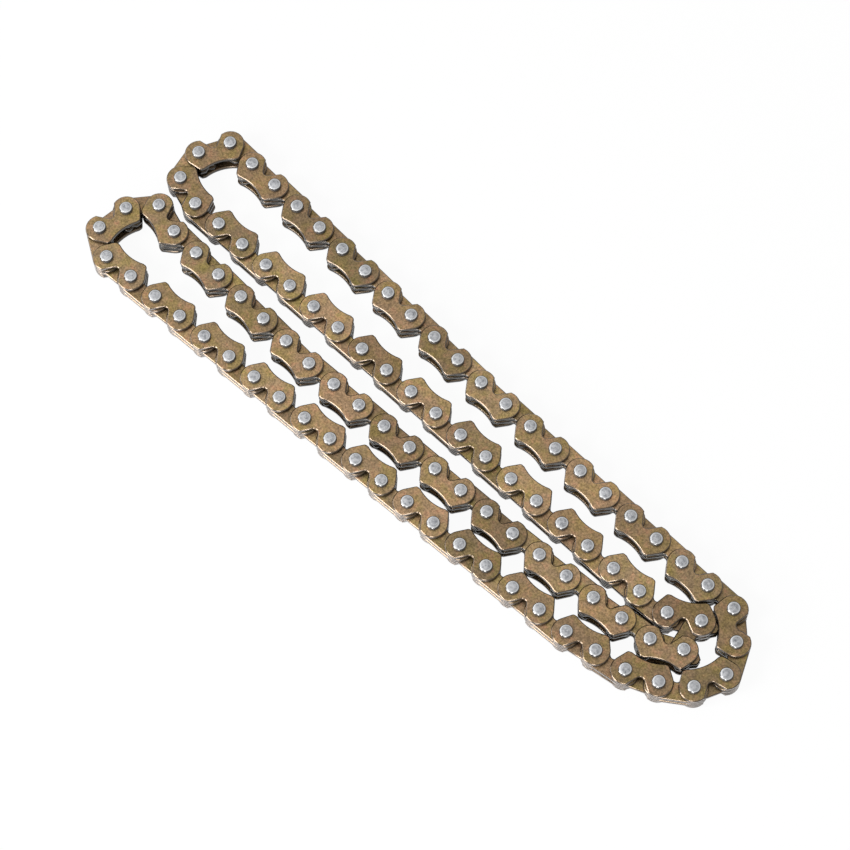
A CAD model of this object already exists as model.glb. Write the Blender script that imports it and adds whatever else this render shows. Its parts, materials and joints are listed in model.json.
"""Looks of a folded inverted-tooth timing chain: stamped plates, riveted pins and a white stage."""

import json

import bpy
import numpy as np
from bpy.props import FloatProperty, FloatVectorProperty, IntProperty, PointerProperty
from mathutils import Matrix, Vector
from mathutils.geometry import tessellate_polygon

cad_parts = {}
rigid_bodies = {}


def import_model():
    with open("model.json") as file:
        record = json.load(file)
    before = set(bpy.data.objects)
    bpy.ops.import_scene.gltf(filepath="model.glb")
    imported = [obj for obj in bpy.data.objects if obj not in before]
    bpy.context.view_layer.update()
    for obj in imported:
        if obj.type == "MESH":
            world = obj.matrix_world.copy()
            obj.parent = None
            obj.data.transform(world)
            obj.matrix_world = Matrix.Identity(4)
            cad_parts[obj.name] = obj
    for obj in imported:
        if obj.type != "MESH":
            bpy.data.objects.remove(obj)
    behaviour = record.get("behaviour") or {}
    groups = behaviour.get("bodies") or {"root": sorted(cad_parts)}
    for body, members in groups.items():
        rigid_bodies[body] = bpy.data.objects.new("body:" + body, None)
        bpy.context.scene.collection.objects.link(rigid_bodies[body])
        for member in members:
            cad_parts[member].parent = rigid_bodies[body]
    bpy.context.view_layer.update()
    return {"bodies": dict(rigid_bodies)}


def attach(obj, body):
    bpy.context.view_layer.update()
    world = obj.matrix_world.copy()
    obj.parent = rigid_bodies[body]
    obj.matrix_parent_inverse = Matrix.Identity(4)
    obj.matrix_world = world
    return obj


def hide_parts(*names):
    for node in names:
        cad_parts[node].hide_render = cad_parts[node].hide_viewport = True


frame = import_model()

bl_info = {
    "name": "Timing chain looks",
    "version": (1, 0, 0),
    "blender": (4, 5, 0),
    "location": "3D View > Sidebar > Timing chain",
    "description": "Dresses a folded inverted-tooth timing chain and sets its studio",
    "category": "Object",
}

MM = 0.001
# Points of an outline nearer to its middle line than this lie on it
NEARLY_ZERO = 1e-9

# Directions of the links in degrees, as (links in a row, direction), walked from the pins named in chain_pins
RIGHT_LOOP = ((1, -44.5), (1, -65), (1, -115.5))
STRAND_4 = ((1, -145.5), (1, -158), (2, -171), (18, -177.6), (1, 148))
STRAND_2 = ((1, -151), (1, -176.5), (18, 180))
STRAND_3 = ((1, -155.5), (2, -174.5), (3, -177), (8, -178.5), (6, 177), (1, 162.5))
STRAND_1 = ((10, 179), (5, 177), (6, 177.3), (1, -118))
BACK_BEND = 101.5

# Links of the bodies with names of their own, as (first link, number of links). Each other body holds the one
# link whose number is in its name.
RUNS = {
    "strand1_right": (16, 6),
    "strand1_middle": (8, 5),
    "left_loop_upper": (88, 11),
    "strand2_middle": (80, 5),
    "strand2_right": (72, 5),
    "right_loop_outer": (22, 2),
    "right_loop_inner": (24, 1),
    "strand4_right": (25, 8),
    "strand4_middle": (36, 5),
    "left_loop_lower": (44, 9),
    "strand3_middle": (56, 5),
    "strand3_right": (64, 8),
}

# Link n joins pin n to pin n + 1. Each even link holds two pins, each odd link turns on its neighbours' pins,
# and one odd link has the wide bore where the loop is opened.
PIN_COUNT = 94
OPEN_LINK = 71
NUMBERS = np.arange(PIN_COUNT)
PIN_LINKS = NUMBERS % 2 == 0
OPEN_LINKS = NUMBERS == OPEN_LINK
INNER_LINKS = ~PIN_LINKS & ~OPEN_LINKS

# Layers of the stack, counted from the lowest plate
GUIDE_LAYERS = (0, 4)
MIDDLE_LAYERS = (2,)
INNER_LAYERS = (1, 3)
LAYER_COUNT = 5

# Outer flanks of both kinds of plates, as degrees from the upright
FLANK_LEAN = 37

# Steps along the rounded parts of the outlines, round a bore and round a pin
ARCH_STEPS = 4
NOTCH_STEPS = 4
CROTCH_STEPS = 3
FOOT_STEPS = 3
EYE_STEPS = 12
BORE_STEPS = 16
PIN_STEPS = 20

# Edge of a plate in three steps from a face to the wall: how far each step is drawn in and how deep it lies,
# both in edge widths, and the angle of its normal from the face's own
EDGE_INSET = np.array([1, 0.25, 0])
EDGE_DEPTH = np.array([0, 0.55, 1.1])
EDGE_TURN = np.radians([38, 46, 90])

# End of a pin in six steps from its tip: three over the crown, in crown radii, then the foot of the bevel, in
# head radii, the flank's foot and the shank. The heights are in rivet heights.
CROWN_STEPS = np.array([0.3, 0.68, 1])
BEVEL_FOOT = 0.97
END_HEIGHTS = np.array([0, 0.04, 0.14, 0.3, 1, 1])

# Wear, the mark by which a material tells surfaces apart. On a plate it runs from 0 on the lower face over 1
# and 2 at the foot and the top of the wall to 3 on the upper face, and from 0 to 3 up both bores. On a pin
# it is 0 on a crown, 1 at the crown's rim, 2 at the bevel's foot and 3 at the flank's foot and on the shank.
PLATE_WEAR = (0, 0.6, 1, 2, 2.4, 3)
BORE_WEAR = (0, 3, 0, 3)
END_WEAR = (0, 0, 1, 2, 3, 3)

# Stretches of wear over which a finish sets in. The first two are ranges, with the width of their soft edges.
SIDE_RANGE = (0.0, 3.0, 0.12)
WALL_RANGE = (0.75, 2.25, 0.2)
BAND_START = (1.55, 1.75)
ROLLED_START = (1.2, 2.2)
CROWN_EDGE = (0.1, 0.9)
BEVEL_START = (1.02, 1.2)
SHANK_START = (2.02, 2.15)

# Shares of a plate's height over the pin line between which the polish of the rails sets in
RUB_START, RUB_FULL = 0.55, 0.8
# Heights over the pin line between which the worn rim of a toothed plate sets in, and its share below them
RIM_START, RIM_FULL, RIM_LEAST = -0.5 * MM, 0.4 * MM, 0.1
# Backs that have less of the polish, as (first link, number of links, share)
LESS_RUBBED = (73, 20, 0.3)

# Noises of the finishes, as (waves to a metre, detail, roughness)
DRIFT = (220.0, 3.0, 0.6)
CLOUD = (700.0, 4.0, 0.65)
MOTTLE = (1800.0, 4.0, 0.65)
SPECKLE = (2600.0, 3.0, 0.7)
GRAIN = (4500.0, 3.0, 0.7)

# Stretches of a noise over which a patch of colour sets in
OLIVE_START = (0.42, 0.68)
RUSSET_START = (0.5, 0.75)
SMUDGE_START = (0.43, 0.7)

# Ramps of the finishes, as a stretch of a noise or a mark and the values at its start and its end
SPECKLE_SHADE = (0.38, 0.62, 0.68, 1.32)
CLOUD_SHADE = (0.35, 0.65, 0.8, 1.2)
LINK_SHADE = (0.0, 1.0, 0.73, 1.29)
PLATE_ROUGHNESS = (0.0, 1.0, 0.3, 0.46)
SIDE_POLISH = (0.0, 1.0, 1.0, 0.6)
SIDE_BUMP = (0.0, 1.0, 0.25, 0.06)
RUBBED_METAL = (0.0, 1.0, 0.9, 0.25)
PIN_ROUGHNESS = (0.0, 1.0, 0.22, 0.42)
BEVEL_POLISH = (*BEVEL_START, 1.0, 0.7)
BEVEL_BUMP = (*BEVEL_START, 0.3, 0.1)
SHANK_METAL = (*SHANK_START, 0.95, 0.0)

# How far a link's tint turns it russet, how many turns of the tint give the draw for its shade, and the
# specular level of the pins
TINT_SHARE = 0.29
SHADE_TURNS = 7.0
PIN_SPECULAR = 0.15

# Depths of the bumps of the plates and of the pins
GRAIN_DEPTH = 0.02 * MM
MOTTLE_DEPTH = 0.04 * MM

# Stage: half the side of the floor, its colour and roughness, and the strengths of its glow and of the sky as
# (for the camera and in reflections, for other light)
FLOOR_REACH = 3.0
FLOOR_COLOUR = (0.85, 0.85, 0.85, 1)
FLOOR_ROUGHNESS = 0.8
FLOOR_GLOW = (0.95, 0.0)
SKY = (1.0, 0.2)
WHITE = (1, 1, 1, 1)

# Soft lamps that look at the origin, as (name, place, width and height, power)
LAMPS = (
    ("overhead", (-0.57, 0.0, 1.28), (1.1, 1.1), 3.4),
    ("crown", (-0.3, -0.7, 0.75), (0.4, 0.32), 8.0),
    ("front", (-0.305, -0.998, 0.38), (0.6, 0.2), 10.0),
    ("left", (-1.0, -0.445, 0.1), (0.6, 0.14), 1.8),
    ("near", (0.548, -0.813, 0.499), (0.34, 0.18), 4.2),
)

# Camera: degrees round from the front, up from the floor and of roll, the point it looks at and its distance
# from there in metres, and its lens and sensor in millimetres
CAMERA_TURNS = (46.05, 68.5, -2.765)
CAMERA_TARGET = np.array([0.65, -0.36, 5.72]) * MM
CAMERA_DISTANCE = 0.5225
CAMERA_LENS = 119.3
CAMERA_SENSOR = 36


def length(name, description, default, low, high):
    """A size in metres for the sizes panel."""
    kind = {"unit": "LENGTH", "subtype": "DISTANCE", "min": low, "max": high, "precision": 5}
    return FloatProperty(name=name, description=description, default=default, **kind)


def colour(name, description, default):
    """A linear colour for the finishes panel."""
    kind = {"size": 3, "subtype": "COLOR", "min": 0, "max": 1}
    return FloatVectorProperty(name=name, description=description, default=default, **kind)


class ChainSizes(bpy.types.PropertyGroup):
    """Sizes of the plates and pins, in metres."""

    pitch: length("Pitch", "Distance from one pin to the next", 6.35 * MM, 6.0 * MM, 7.0 * MM)
    plate: length("Plate", "Thickness of a stamped plate", 0.8 * MM, 0.5 * MM, 1.0 * MM)
    gap: length("Gap", "Air between two plates of the stack", 0.04 * MM, 0.01 * MM, 0.1 * MM)
    eye: length("Eye", "Radius of the round eye about a pin", 2.75 * MM, 2.5 * MM, 3.0 * MM)
    middle_back: length("Middle back", "Height of a middle plate's back", 2.3 * MM, 2.0 * MM, 2.5 * MM)
    pin: length("Pin", "Radius of the pin inside the plates", 1.15 * MM, 1.0 * MM, 1.3 * MM)
    fit: length("Fit", "Clearance of a pin in the inner links", 0.03 * MM, 0.01 * MM, 0.1 * MM)
    open_fit: length("Open fit", "Clearance of the open pivot's pin", 0.32 * MM, 0.2 * MM, 0.4 * MM)
    rivet: length("Rivet height", "Height of a pin's end above its plates", 0.78 * MM, 0.4 * MM, 1.2 * MM)
    rivet_r: length("Rivet radius", "Radius of a pin's riveted end", 1.3 * MM, 1.2 * MM, 1.5 * MM)
    edge: length("Edge", "Width of the worn edges of the plates", 0.2 * MM, 0.02 * MM, 0.3 * MM)
    bevel: length("Bevel", "Width of the bevel round a pin's end", 0.15 * MM, 0.1 * MM, 0.4 * MM)


class ChainFinishes(bpy.types.PropertyGroup):
    """Colours of the tempered plates and of the pins."""

    bronze: colour("Bronze", "Tempered face of the plates", (0.193, 0.136, 0.077))
    olive: colour("Olive", "Greener patches of the tempered face", (0.2, 0.154, 0.052))
    russet: colour("Russet", "Redder patches of the tempered face", (0.218, 0.116, 0.067))
    edge: colour("Edge", "Worn edges of the plates", (0.1, 0.077, 0.057))
    cut: colour("Cut wall", "Dark sheared walls between the teeth", (0.03, 0.028, 0.026))
    band: colour("Burnished band", "Smooth band along the top of the sheared walls", (0.1, 0.098, 0.092))
    rubbed: colour("Rubbed back", "Backs of the plates, polished by the rails", (0.28, 0.255, 0.24))
    steel: colour("Steel", "Riveted ends of the pins", (0.335, 0.34, 0.35))
    crown: colour("Crown", "Polished edge of the crown of a pin", (0.5, 0.505, 0.51))
    smudge: colour("Smudge", "Darker mottle on the riveted ends", (0.14, 0.146, 0.158))
    shank: colour("Shank", "Dark flanks of the riveted ends", (0.07, 0.067, 0.065))
    bevel: colour("Bevel", "Bevels of the riveted ends", (0.08, 0.077, 0.074))
    seed: IntProperty(name="Seed", description="Draw of the tints of the plates", default=7, min=0)


def unit(degrees):
    """Unit vector in the plane at an angle in degrees."""
    a = np.radians(degrees)
    return np.array([np.cos(a), np.sin(a)])


def full_circle(steps):
    """Unit vectors at equal steps all round."""
    return unit(np.arange(steps) * 360 / steps).T


def walk(start, runs, pitch):
    """Pins along a strand: from the start on, a running sum of one pitch along the direction of each link."""
    turns = np.repeat([turn for _, turn in runs], [count for count, _ in runs])
    steps = pitch * unit(turns).T
    return start + np.vstack([np.zeros(2), np.cumsum(steps, axis=0)])


def meet(a, b, pitch):
    """The pin one pitch from both a and b, left of the line from a to b: the tip of an isosceles triangle."""
    span = b - a
    across = np.array([-span[1], span[0]]) / np.linalg.norm(span)
    return (a + b) / 2 + np.sqrt(pitch**2 - span @ span / 4) * across


def chain_pins(pitch):
    """Places of all pins, from pin 0 round the loop, centred on the middle of their box."""
    right = walk(np.zeros(2), RIGHT_LOOP, pitch)
    lower = walk(right[3], STRAND_4, pitch)
    # Pins 22, 24, 25 and 72 stand on a parallelogram, so the lower half can swing about pin 72
    pin_72 = right[3] - right[2] + right[0]
    third = walk(pin_72 - pitch * unit(BACK_BEND), STRAND_3, pitch)
    second = walk(pin_72, STRAND_2, pitch)
    first = walk(np.zeros(2), STRAND_1, pitch)
    pins = np.vstack(
        [
            first[::-1],
            right[1:3],
            lower,
            meet(lower[-1], third[-1], pitch),
            third[::-1],
            second,
            meet(second[-1], first[-1], pitch),
        ]
    )
    return pins - (pins.max(axis=0) + pins.min(axis=0)) / 2


def body_links():
    """Numbers of the links that each body holds, by the body's name in the frame."""
    links = {}
    for name in frame["bodies"]:
        first, count = RUNS[name] if name in RUNS else (int(name.removeprefix("link_")), 1)
        links[name] = (first + np.arange(count)) % PIN_COUNT
    return links


def arc(centre, radius, start, end, steps):
    """Points on a circle about centre, from the start angle to the end angle in degrees, in equal steps."""
    return np.asarray(centre) + radius * unit(np.linspace(start, end, steps + 1)).T


def mirrored(half):
    """A closed outline from its right half, which runs anticlockwise from the middle's foot to its top."""
    other = half[::-1] * (-1, 1)
    keep = np.abs(other[:, 0]) > NEARLY_ZERO
    return np.vstack([half, other[keep]])


def foot_centre(sizes, foot, foot_r):
    """Centre of a foot's circle, which touches the foot line and the flank, a line that touches the eye."""
    nx, ny = unit(-FLANK_LEAN)
    reach = nx * sizes.pitch / 2 + sizes.eye - foot_r + ny * (foot - foot_r)
    return np.array([reach / nx, foot_r - foot])


def guide_outline(sizes):
    """Guide plate: an arch between two feet, leaning flanks, round eyes and a V notch with a round floor."""
    foot, foot_r = 3.6 * MM, 0.6 * MM
    arch, arch_r = 3.0 * MM, 8.4 * MM
    notch, notch_r, slope = 0.25 * MM, 0.8 * MM, 53
    back = 2.6 * MM
    half = sizes.pitch / 2
    arch_c = -arch - arch_r
    arch_end = np.degrees(np.arcsin((-foot - arch_c) / arch_r))
    shoulder = 180 - np.degrees(np.arcsin(back / sizes.eye))
    floor = arc((0, notch + notch_r), notch_r, slope - 90, -90, NOTCH_STEPS)
    wall_x = floor[0, 0] + (back - floor[0, 1]) / np.tan(np.radians(slope))
    return mirrored(
        np.vstack(
            [
                arc((0, arch_c), arch_r, 90, arch_end, ARCH_STEPS),
                arc(foot_centre(sizes, foot, foot_r), foot_r, -90, -FLANK_LEAN, FOOT_STEPS),
                arc((half, 0), sizes.eye, -FLANK_LEAN, shoulder, EYE_STEPS),
                [(wall_x, back)],
                floor,
            ]
        )
    )


def toothed_outline(sizes, back):
    """Toothed plate: two pointed teeth, a round crotch, leaning flanks, round eyes and a straight back."""
    foot, foot_r = 3.45 * MM, 0.55 * MM
    root, root_r, spread = 0.76 * MM, 0.7 * MM, 46
    half = sizes.pitch / 2
    crotch = arc((0, -root - root_r), root_r, 90, 90 - spread, CROTCH_STEPS)
    tip_x = crotch[-1, 0] + (foot + crotch[-1, 1]) * np.tan(np.radians(90 - spread))
    shoulder = 180 - np.degrees(np.arcsin(min(back / sizes.eye, 1)))
    return mirrored(
        np.vstack(
            [
                crotch,
                [(tip_x, -foot)],
                arc(foot_centre(sizes, foot, foot_r), foot_r, -90, -FLANK_LEAN, FOOT_STEPS),
                arc((half, 0), sizes.eye, -FLANK_LEAN, shoulder, EYE_STEPS),
                [(0, back)],
            ]
        )
    )


def outline_normals(outline):
    """Outward directions at an outline's points, lengthened at corners so that an inset keeps its width."""
    edges = np.roll(outline, -1, axis=0) - outline
    edges /= np.linalg.norm(edges, axis=1)[:, None]
    outward = np.stack([edges[:, 1], -edges[:, 0]], axis=1)
    mean = outward + np.roll(outward, 1, axis=0)
    return 2 * mean / np.sum(mean**2, axis=1)[:, None]


def ring_quads(first, second, count):
    """Quads between two closed rings of count points, which start at the vertices first and second."""
    i = np.arange(count)
    j = (i + 1) % count
    return np.stack([first + i, first + j, second + j, second + i], axis=1)


def edge_rings(outline, sizes):
    """Rings round a plate's edge from the lower to the upper face, and their normals.

    Point (k, s) is outline(s) - inset(k) outward(s) at height(k). From each face the rings run over a gentle
    slope and a steep one to the upright wall, and the normals round them off.
    """
    inset = sizes.edge * np.concatenate([EDGE_INSET, EDGE_INSET[::-1]])
    depth = sizes.edge * EDGE_DEPTH
    height = np.concatenate([depth, sizes.plate - depth[::-1]])
    turn = np.concatenate([EDGE_TURN, EDGE_TURN[::-1]])
    facing = np.repeat([-1, 1], len(EDGE_TURN))
    outward = outline_normals(outline)
    rings = np.empty((len(turn), len(outline), 3))
    rings[:, :, :2] = outline - inset[:, None, None] * outward
    rings[:, :, 2] = height[:, None]
    normals = np.empty_like(rings)
    normals[:, :, :2] = np.sin(turn)[:, None, None] * outward / np.linalg.norm(outward, axis=1)[:, None]
    normals[:, :, 2] = (np.cos(turn) * facing)[:, None]
    return rings, normals


def bore_rings(bores_r, sizes):
    """Circles round both pins at the lower and the upper face, by bore and face, and their inward normals."""
    circle = full_circle(BORE_STEPS)
    centres = np.array([(-sizes.pitch / 2, 0), (sizes.pitch / 2, 0)])
    rings = np.empty((2, 2, BORE_STEPS, 3))
    rings[..., :2] = centres[:, None, None] + np.array(bores_r)[:, None, None, None] * circle
    rings[..., 2] = np.array([0, sizes.plate])[:, None]
    normals = np.zeros_like(rings)
    normals[..., :2] = -circle
    return rings, normals


def face_triangles(loops):
    """Triangles between a flat outline and its bores, all anticlockwise, by the numbers of their points."""
    points = np.vstack(loops)
    face = np.array(tessellate_polygon([loop.tolist() for loop in loops]))
    ab, ac = points[face[:, 1]] - points[face[:, 0]], points[face[:, 2]] - points[face[:, 0]]
    clockwise = ab[:, 0] * ac[:, 1] < ab[:, 1] * ac[:, 0]
    face[clockwise] = face[clockwise][:, ::-1]
    return face


def flat_normals(count):
    """Normals at the corners of as many triangles that face down, and then of as many that face up."""
    normals = np.zeros((2 * count, 3, 3))
    normals[:, :, 2] = np.repeat([-1.0, 1.0], count)[:, None]
    return normals


def plate_marks(outline, toothed):
    """Marks at a plate's points: its wear, how far the rails rub it, and how far its rim is worn.

    The rim is worn all round a guide plate, but hardly below the pin line of a toothed plate.
    """
    height = outline[:, 1]
    rub = np.interp(height / height.max(), (RUB_START, RUB_FULL), (0, 1))
    rim = np.interp(height, (RIM_START, RIM_FULL), (RIM_LEAST, 1)) if toothed else np.ones(len(outline))
    rings, bores = len(PLATE_WEAR), np.zeros(len(BORE_WEAR) * BORE_STEPS)
    return {
        "wear": np.concatenate([np.repeat(PLATE_WEAR, len(outline)), np.repeat(BORE_WEAR, BORE_STEPS)]),
        "rub": np.concatenate([np.tile(rub, rings), bores]),
        "rim": np.concatenate([np.tile(rim, rings), bores]),
    }


def stamped_plate(outline, bores_r, sizes, toothed):
    """A plate: rings along its edge, two bores, and triangles between them on both faces."""
    rim, rim_n = edge_rings(outline, sizes)
    bores, bore_n = bore_rings(bores_r, sizes)
    rings, count = rim.shape[:2]
    low_1, top_1, low_2, top_2 = rings * count + BORE_STEPS * np.arange(4)
    side = [ring_quads(k * count, (k + 1) * count, count) for k in range(rings - 1)]
    holes = [ring_quads(top_1, low_1, BORE_STEPS), ring_quads(top_2, low_2, BORE_STEPS)]
    quads = np.vstack([*side, *holes])

    face = face_triangles([rim[0], bores[0, 0], bores[1, 0]])
    ring, hole = np.arange(count), np.arange(BORE_STEPS)
    lower = np.concatenate([ring, low_1 + hole, low_2 + hole])
    upper = np.concatenate([(rings - 1) * count + ring, top_1 + hole, top_2 + hole])
    vert_n = np.vstack([rim_n.reshape(-1, 3), bore_n.reshape(-1, 3)])
    return {
        "verts": np.vstack([rim.reshape(-1, 3), bores.reshape(-1, 3)]),
        "quads": quads,
        "tris": np.vstack([lower[face[:, ::-1]], upper[face]]),
        "quad_n": vert_n[quads],
        "tri_n": flat_normals(len(face)),
        "marks": plate_marks(outline, toothed),
    }


def pin_profile(sizes):
    """Radius and height at each step of a pin from its lower tip to its upper one.

    Each end is a spread head: a low crown of two slopes, a bevel round it, a flank that flares to the head's
    full radius and a flat shoulder on the guide plate.
    """
    top = 2 * sizes.rivet + LAYER_COUNT * sizes.plate + (LAYER_COUNT - 1) * sizes.gap
    waist = BEVEL_FOOT * sizes.rivet_r
    crown = waist - sizes.bevel
    radius = np.array([*(CROWN_STEPS * crown), waist, sizes.rivet_r, sizes.pin])
    end = np.stack([radius, END_HEIGHTS * sizes.rivet], axis=1)
    return np.vstack([end, end[::-1] * (1, -1) + (0, top)]), top


def riveted_pin(sizes):
    """A pin as a profile turned about Z: point (k, a) is at radius(k), angle a and height(k).

    Every stretch of the profile keeps the normal of its own slope, so that the edges between them stay crisp.
    """
    profile, top = pin_profile(sizes)
    rings = len(profile)
    circle = full_circle(PIN_STEPS)
    around = np.roll(circle, -1, axis=0)
    grid = np.empty((rings, PIN_STEPS, 3))
    grid[:, :, :2] = profile[:, None, :1] * circle
    grid[:, :, 2] = profile[:, None, 1]
    quads = [ring_quads(k * PIN_STEPS, (k + 1) * PIN_STEPS, PIN_STEPS) for k in range(rings - 1)]

    stretch = np.diff(profile, axis=0)
    across = np.stack([stretch[:, 1], -stretch[:, 0]], axis=1) / np.linalg.norm(stretch, axis=1)[:, None]
    quad_n = np.empty((rings - 1, PIN_STEPS, 4, 3))
    for corner, side in enumerate((circle, around, around, circle)):
        quad_n[:, :, corner, :2] = across[:, None, :1] * side
        quad_n[:, :, corner, 2] = across[:, None, 1]

    i = np.arange(PIN_STEPS)
    j = (i + 1) % PIN_STEPS
    last, pole = (rings - 1) * PIN_STEPS, rings * PIN_STEPS
    low, high = np.full(PIN_STEPS, pole), np.full(PIN_STEPS, pole + 1)
    return {
        "verts": np.vstack([grid.reshape(-1, 3), [(0, 0, 0), (0, 0, top)]]),
        "quads": np.vstack(quads),
        "tris": np.vstack([np.stack([low, j, i], axis=1), np.stack([high, last + i, last + j], axis=1)]),
        "quad_n": quad_n.reshape(-1, 4, 3),
        "tri_n": flat_normals(PIN_STEPS),
        "marks": {"wear": np.concatenate([np.repeat([*END_WEAR, *END_WEAR[::-1]], PIN_STEPS), [0, 0]])},
    }


def place(links, pins, sizes, layers):
    """Turns and shifts of a plate on links and layers: x from pin to pin, y away from the teeth, z up."""
    a, b = pins[links], pins[(links + 1) % PIN_COUNT]
    along = (b - a) / np.linalg.norm(b - a, axis=1)[:, None]
    turn = np.zeros((len(links), 3, 3))
    turn[:, 0, :2] = along
    turn[:, 1, :2] = np.stack([-along[:, 1], along[:, 0]], axis=1)
    turn[:, 2, 2] = 1
    level = sizes.rivet + np.array(layers) * (sizes.plate + sizes.gap)
    shift = np.zeros((len(layers), len(links), 3))
    shift[:, :, :2] = (a + b) / 2
    shift[:, :, 2] = level[:, None]
    shift = shift.reshape(-1, 3)
    turn = np.tile(turn, (len(layers), 1, 1))
    return turn, shift


def copies(template, turn, shift):
    """The template's arrays repeated with each turn and shift, with face numbers moved on for each copy."""
    total, count = len(shift), len(template["verts"])
    offset = (np.arange(total) * count)[:, None, None]
    return {
        "verts": (template["verts"] @ turn + shift[:, None]).reshape(-1, 3),
        "quads": (template["quads"] + offset).reshape(-1, 4),
        "tris": (template["tris"] + offset).reshape(-1, 3),
        "quad_n": np.einsum("fij,cjk->cfik", template["quad_n"], turn).reshape(-1, 3),
        "tri_n": np.einsum("fij,cjk->cfik", template["tri_n"], turn).reshape(-1, 3),
        "marks": {key: np.tile(values, total) for key, values in template["marks"].items()},
        "count": count,
    }


def fill_mesh(name, parts):
    """A mesh object from arrays of vertices, quads, triangles, corner normals and marks at the points."""
    mesh = bpy.data.meshes.new(name)
    quads, tris = parts["quads"], parts["tris"]
    corners = np.concatenate([quads.ravel(), tris.ravel()])
    totals = np.concatenate([np.full(len(quads), 4), np.full(len(tris), 3)])
    mesh.vertices.add(len(parts["verts"]))
    mesh.vertices.foreach_set("co", parts["verts"].ravel())
    mesh.loops.add(len(corners))
    mesh.loops.foreach_set("vertex_index", corners.astype(np.int32))
    mesh.polygons.add(len(totals))
    starts = np.concatenate([[0], np.cumsum(totals)[:-1]])
    mesh.polygons.foreach_set("loop_start", starts.astype(np.int32))
    mesh.polygons.foreach_set("loop_total", totals.astype(np.int32))
    mesh.polygons.foreach_set("use_smooth", np.ones(len(totals), bool))
    mesh.update(calc_edges=True)
    for key, values in parts["marks"].items():
        mesh.attributes.new(key, "FLOAT", "POINT").data.foreach_set("value", values.astype(np.float32))
    mesh.validate()
    mesh.normals_split_custom_set(np.vstack([parts["quad_n"], parts["tri_n"]]).astype(np.float32))
    piece = bpy.data.objects.new(name, mesh)
    bpy.context.scene.collection.objects.link(piece)
    return piece


def shader(name):
    """A new material with its Principled shader, and a function that adds nodes to it."""
    material = bpy.data.materials.new(name)
    material.use_nodes = True
    tree = material.node_tree
    principled = tree.nodes["Principled BSDF"]

    def add(kind, links=(), **values):
        node = tree.nodes.new(kind)
        for key, value in values.items():
            setattr(node, key, value)
        for socket, source in links:
            if isinstance(source, bpy.types.NodeSocket):
                tree.links.new(source, node.inputs[socket])
            else:
                node.inputs[socket].default_value = source
        return node

    return material, tree, principled, add


def colour_mix(add, factor, first, second):
    """A colour between two colours, or colour outputs, by a factor output."""
    mix = add("ShaderNodeMix", data_type="RGBA")
    pairs = ((mix.inputs[0], factor), (mix.inputs[6], first), (mix.inputs[7], second))
    for socket, source in pairs:
        if isinstance(source, bpy.types.NodeSocket):
            mix.id_data.links.new(source, socket)
        else:
            socket.default_value = (*source, 1)
    return mix.outputs[2]


def seen_share(tree, seen, other):
    """A value that is seen for what the camera, a mirror or a glass looks at, and other for the rest."""
    path = tree.nodes.new("ShaderNodeLightPath")
    value = path.outputs["Is Camera Ray"]
    for ray in ("Is Glossy Ray", "Is Transmission Ray"):
        larger = tree.nodes.new("ShaderNodeMath")
        larger.operation = "MAXIMUM"
        tree.links.new(value, larger.inputs[0])
        tree.links.new(path.outputs[ray], larger.inputs[1])
        value = larger.outputs[0]
    spread = tree.nodes.new("ShaderNodeMapRange")
    tree.links.new(value, spread.inputs["Value"])
    spread.inputs["To Min"].default_value = other
    spread.inputs["To Max"].default_value = seen
    return spread.outputs[0]


def ramp(add, value, start, end, low=0.0, high=1.0):
    """A value that runs from low to high while another runs from start to end."""
    links = [("Value", value), ("From Min", start), ("From Max", end), ("To Min", low), ("To Max", high)]
    return add("ShaderNodeMapRange", links).outputs[0]


def product(add, first, second):
    """Two values multiplied."""
    return add("ShaderNodeMath", [(0, first), (1, second)], operation="MULTIPLY").outputs[0]


def between(add, value, start, end, soft):
    """1 while a value lies from start to end, and 0 outside, with edges as wide as soft inside that range."""
    return product(add, ramp(add, value, start, start + soft), ramp(add, value, end - soft, end, 1.0, 0.0))


def noise(add, scale, detail, rough):
    """Noise on the object's own coordinates, with scale waves to a metre."""
    coords = add("ShaderNodeTexCoord").outputs["Object"]
    links = [("Vector", coords), ("Scale", scale), ("Detail", detail), ("Roughness", rough)]
    return add("ShaderNodeTexNoise", links).outputs["Fac"]


def mark(add, name):
    """A value stored at the points of the mesh."""
    return add("ShaderNodeAttribute", attribute_name=name).outputs["Fac"]


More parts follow.
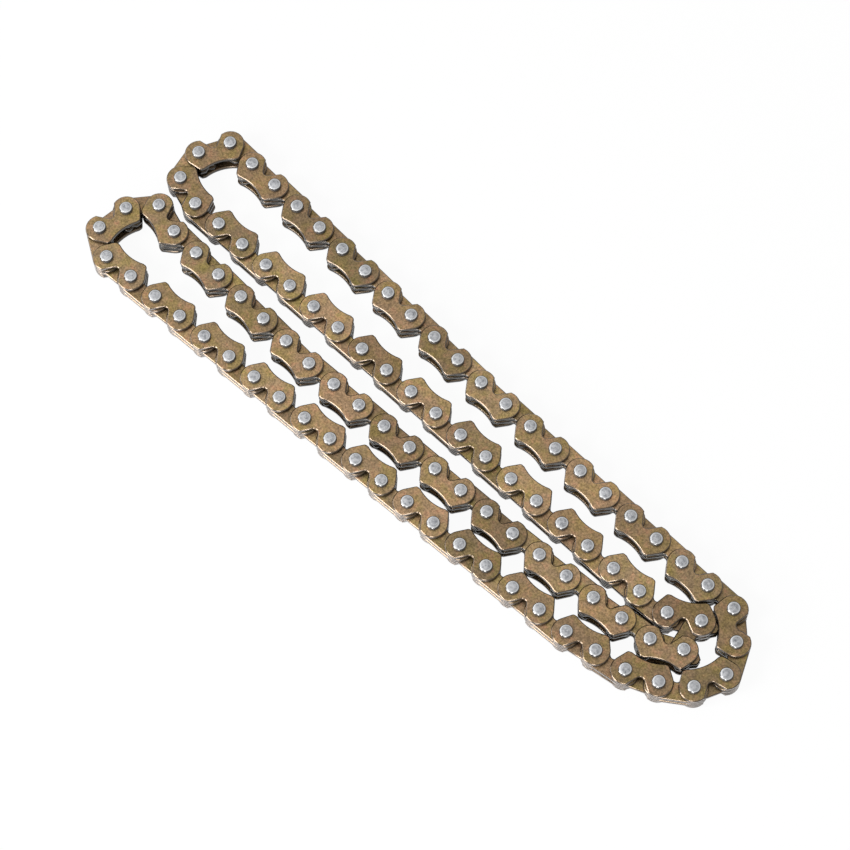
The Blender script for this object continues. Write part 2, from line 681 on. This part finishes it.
def plate_material(finishes):
    """Tempered spring steel, by the marks at its points.

    Faces are a speckled bronze that drifts to olive and russet, and each link has its own tint and shade.
    Edges are worn dark and smooth, walls are dark with a burnished band along the top, and rubbed backs are
    bright.
    """
    material, tree, principled, add = shader("tempered_plate")
    tint, wear, rub = mark(add, "tint"), mark(add, "wear"), mark(add, "rub")
    cloud = noise(add, *CLOUD)
    speckle = noise(add, *SPECKLE)

    # Temper colours, and a brightness from the speckle, the cloud and a second draw for each link
    face = colour_mix(add, ramp(add, noise(add, *DRIFT), *OLIVE_START), finishes.bronze, finishes.olive)
    face = colour_mix(add, ramp(add, cloud, *RUSSET_START), face, finishes.russet)
    face = colour_mix(add, product(add, tint, TINT_SHARE), face, finishes.russet)
    draw = add("ShaderNodeMath", [(0, product(add, tint, SHADE_TURNS))], operation="FRACT").outputs[0]
    shade = product(add, ramp(add, speckle, *SPECKLE_SHADE), ramp(add, cloud, *CLOUD_SHADE))
    shade = product(add, shade, ramp(add, draw, *LINK_SHADE))
    face = add("ShaderNodeVectorMath", [("Vector", face), ("Scale", shade)], operation="SCALE").outputs[0]

    # Walls with the band and the polish of the rails, between the worn rims
    on_side = between(add, wear, *SIDE_RANGE)
    on_wall = between(add, wear, *WALL_RANGE)
    wall = colour_mix(add, ramp(add, wear, *BAND_START), finishes.cut, finishes.band)
    wall = colour_mix(add, rub, wall, finishes.rubbed)
    rolled = product(add, ramp(add, wear, *ROLLED_START), mark(add, "rim"))
    rim = colour_mix(add, rolled, finishes.cut, finishes.edge)
    side = colour_mix(add, on_wall, rim, wall)
    tree.links.new(colour_mix(add, on_side, face, side), principled.inputs["Base Color"])

    # Sides are smoother than faces, and rubbed backs less metallic, so that they stay pale from every side
    rough = product(add, ramp(add, cloud, *PLATE_ROUGHNESS), ramp(add, on_side, *SIDE_POLISH))
    tree.links.new(rough, principled.inputs["Roughness"])
    metal = ramp(add, product(add, on_wall, rub), *RUBBED_METAL)
    tree.links.new(metal, principled.inputs["Metallic"])
    grain = noise(add, *GRAIN)
    depth = ramp(add, on_side, *SIDE_BUMP)
    bump = add("ShaderNodeBump", [("Height", grain), ("Strength", depth), ("Distance", GRAIN_DEPTH)])
    tree.links.new(bump.outputs["Normal"], principled.inputs["Normal"])
    return material


def pin_material(finishes):
    """Ground steel: mottled crowns, polished towards their edges, over darker bevels and dark flanks."""
    material, tree, principled, add = shader("riveted_steel")
    mottle = noise(add, *MOTTLE)
    base = colour_mix(add, ramp(add, mottle, *SMUDGE_START), finishes.steel, finishes.smudge)
    wear = mark(add, "wear")
    base = colour_mix(add, ramp(add, wear, *CROWN_EDGE), base, finishes.crown)
    base = colour_mix(add, ramp(add, wear, *BEVEL_START), base, finishes.bevel)
    base = colour_mix(add, ramp(add, wear, *SHANK_START), base, finishes.shank)
    tree.links.new(base, principled.inputs["Base Color"])

    # Bevels and flanks are smoother than crowns, and flanks are dark scale with no shine of metal
    rough = product(add, ramp(add, mottle, *PIN_ROUGHNESS), ramp(add, wear, *BEVEL_POLISH))
    tree.links.new(rough, principled.inputs["Roughness"])
    depth = ramp(add, wear, *BEVEL_BUMP)
    bump = add("ShaderNodeBump", [("Height", mottle), ("Strength", depth), ("Distance", MOTTLE_DEPTH)])
    tree.links.new(bump.outputs["Normal"], principled.inputs["Normal"])
    tree.links.new(ramp(add, wear, *SHANK_METAL), principled.inputs["Metallic"])
    principled.inputs["Specular IOR Level"].default_value = PIN_SPECULAR
    return material


def dress(body, suffix, node, parts, material):
    """A piece in the place of a body's node, which rides on the body and takes the finish of a slot."""
    piece = fill_mesh(f"{body}_{suffix}", parts)
    piece.data.materials.append(material)
    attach(piece, body)
    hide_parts(node)


def dress_plates(context, suffix, outline, bores_r, layers, kind, toothed):
    """One piece for each body's plates on one kind of links, with each link's tint from the seeded draw."""
    sizes, finishes = context.scene.chain_sizes, context.scene.chain_finishes
    pins = chain_pins(sizes.pitch)
    material = bpy.data.materials.get("tempered_plate") or plate_material(finishes)
    template = stamped_plate(outline, bores_r, sizes, toothed)
    tints = np.random.default_rng(finishes.seed).random(PIN_COUNT)
    first, number, share = LESS_RUBBED
    polish = np.ones(PIN_COUNT)
    polish[first : first + number] = share
    for body, links in body_links().items():
        chosen = links[kind[links]]
        if not len(chosen):
            continue
        parts = copies(template, *place(chosen, pins, sizes, layers))
        owner = np.repeat(np.tile(chosen, len(layers)), parts["count"])
        parts["marks"]["tint"] = tints[owner]
        parts["marks"]["rub"] *= polish[owner]
        dress(body, suffix, f"{body}_plates", parts, material)


class OBJECT_OT_chain_guides(bpy.types.Operator):
    """Make the guide plates on both faces of the chain"""

    bl_idname = "object.chain_guides"
    bl_label = "Guide plates"

    def execute(self, context):
        sizes = context.scene.chain_sizes
        bores_r = (sizes.pin, sizes.pin)
        dress_plates(context, "guides", guide_outline(sizes), bores_r, GUIDE_LAYERS, PIN_LINKS, False)
        return {"FINISHED"}


class OBJECT_OT_chain_middles(bpy.types.Operator):
    """Make the toothed plates in the middle of the pin links"""

    bl_idname = "object.chain_middles"
    bl_label = "Middle plates"

    def execute(self, context):
        sizes = context.scene.chain_sizes
        outline, bores_r = toothed_outline(sizes, sizes.middle_back), (sizes.pin, sizes.pin)
        dress_plates(context, "middles", outline, bores_r, MIDDLE_LAYERS, PIN_LINKS, True)
        return {"FINISHED"}


class OBJECT_OT_chain_inners(bpy.types.Operator):
    """Make the pairs of toothed plates of the inner links"""

    bl_idname = "object.chain_inners"
    bl_label = "Inner plates"

    def execute(self, context):
        sizes = context.scene.chain_sizes
        outline, bore_r = toothed_outline(sizes, sizes.eye), sizes.pin + sizes.fit
        dress_plates(context, "inners", outline, (bore_r, bore_r), INNER_LAYERS, INNER_LINKS, True)
        bores_r = (bore_r, sizes.pin + sizes.open_fit)
        dress_plates(context, "open_inners", outline, bores_r, INNER_LAYERS, OPEN_LINKS, True)
        return {"FINISHED"}


class OBJECT_OT_chain_pins(bpy.types.Operator):
    """Make the riveted pins of the pin links"""

    bl_idname = "object.chain_pins"
    bl_label = "Riveted pins"

    def execute(self, context):
        sizes = context.scene.chain_sizes
        pins = chain_pins(sizes.pitch)
        material = pin_material(context.scene.chain_finishes)
        template = riveted_pin(sizes)
        for body, links in body_links().items():
            first = links[PIN_LINKS[links]]
            if not len(first):
                continue
            spots = pins[np.concatenate([first, (first + 1) % PIN_COUNT])]
            shift = np.column_stack([spots, np.zeros(len(spots))])
            parts = copies(template, np.tile(np.eye(3), (len(spots), 1, 1)), shift)
            dress(body, "rivets", f"{body}_pins", parts, material)
        return {"FINISHED"}


def white_world(scene):
    """A sky that the camera sees white and that lights the chain softly."""
    world = bpy.data.worlds.new("studio")
    world.use_nodes = True
    tree = world.node_tree
    sky = tree.nodes["Background"]
    sky.inputs["Color"].default_value = WHITE
    tree.links.new(seen_share(tree, *SKY), sky.inputs["Strength"])
    scene.world = world


def white_floor(scene):
    """A square at height 0 that glows white for the camera, mixed with a matt white that takes the shadow."""
    reach = FLOOR_REACH
    corners = [(-reach, -reach, 0), (reach, -reach, 0), (reach, reach, 0), (-reach, reach, 0)]
    mesh = bpy.data.meshes.new("floor")
    mesh.from_pydata(corners, [], [(0, 1, 2, 3)])
    floor = bpy.data.objects.new("floor", mesh)
    scene.collection.objects.link(floor)
    material, tree, principled, add = shader("white_floor")
    principled.inputs["Base Color"].default_value = FLOOR_COLOUR
    principled.inputs["Roughness"].default_value = FLOOR_ROUGHNESS
    glow = add("ShaderNodeEmission", [("Color", WHITE), ("Strength", 1.0)])
    links = [(0, seen_share(tree, *FLOOR_GLOW)), (1, principled.outputs[0]), (2, glow.outputs[0])]
    mixed = add("ShaderNodeMixShader", links)
    tree.links.new(mixed.outputs[0], tree.nodes["Material Output"].inputs["Surface"])
    mesh.materials.append(material)


def soft_lamps(scene):
    """Rectangular lamps, each turned to the origin."""
    for name, spot, size, power in LAMPS:
        lamp = bpy.data.lights.new(name, "AREA")
        lamp.shape = "RECTANGLE"
        lamp.size, lamp.size_y = size
        lamp.energy = power
        holder = bpy.data.objects.new(name, lamp)
        holder.location = spot
        holder.rotation_euler = Vector(spot).to_track_quat("Z", "Y").to_euler()
        scene.collection.objects.link(holder)


def photo_camera(scene):
    """The camera at the photograph's angle: its axes from two turns about the target, then rolled."""
    azimuth, elevation, roll = np.radians(CAMERA_TURNS)
    flat = np.cos(elevation)
    back = np.array([np.sin(azimuth) * flat, -np.cos(azimuth) * flat, np.sin(elevation)])
    level = np.cross(-back, (0, 0, 1))
    level /= np.linalg.norm(level)
    up = np.cross(level, -back)
    pose = np.eye(4)
    pose[:3, 0] = np.cos(roll) * level + np.sin(roll) * up
    pose[:3, 1] = -np.sin(roll) * level + np.cos(roll) * up
    pose[:3, 2] = back
    pose[:3, 3] = CAMERA_TARGET + CAMERA_DISTANCE * back
    data = bpy.data.cameras.new("camera")
    data.lens = CAMERA_LENS
    data.sensor_width = CAMERA_SENSOR
    camera = bpy.data.objects.new("camera", data)
    camera.matrix_world = Matrix(pose.tolist())
    scene.collection.objects.link(camera)
    scene.camera = camera


class OBJECT_OT_chain_stage(bpy.types.Operator):
    """Set the white floor, the soft lamps and the camera"""

    bl_idname = "object.chain_stage"
    bl_label = "Stage"

    def execute(self, context):
        scene = context.scene
        scene.view_settings.view_transform = "Standard"
        white_world(scene)
        white_floor(scene)
        soft_lamps(scene)
        photo_camera(scene)
        return {"FINISHED"}


class VIEW3D_PT_chain(bpy.types.Panel):
    """Panel with the steps, sizes and finishes of the chain"""

    bl_idname = "VIEW3D_PT_chain"
    bl_label = "Timing chain"
    bl_space_type = "VIEW_3D"
    bl_region_type = "UI"
    bl_category = "Timing chain"

    def draw(self, context):
        for operator in OPERATORS:
            self.layout.operator(operator.bl_idname)
        for group in (context.scene.chain_sizes, context.scene.chain_finishes):
            box = self.layout.box()
            for key in group.__annotations__:
                box.prop(group, key)


OPERATORS = (
    OBJECT_OT_chain_guides,
    OBJECT_OT_chain_middles,
    OBJECT_OT_chain_inners,
    OBJECT_OT_chain_pins,
    OBJECT_OT_chain_stage,
)
CLASSES = (ChainSizes, ChainFinishes, *OPERATORS, VIEW3D_PT_chain)


def register():
    """Registers the classes and hangs the sizes and finishes on the scene."""
    for cls in CLASSES:
        bpy.utils.register_class(cls)
    bpy.types.Scene.chain_sizes = PointerProperty(type=ChainSizes)
    bpy.types.Scene.chain_finishes = PointerProperty(type=ChainFinishes)


def unregister():
    """Takes back what register did, in the opposite order."""
    del bpy.types.Scene.chain_finishes
    del bpy.types.Scene.chain_sizes
    for cls in reversed(CLASSES):
        bpy.utils.unregister_class(cls)


def main():
    register()
    bpy.ops.object.chain_guides()
    bpy.ops.object.chain_middles()
    bpy.ops.object.chain_inners()
    bpy.ops.object.chain_pins()
    bpy.ops.object.chain_stage()


if __name__ == "__main__":
    main()
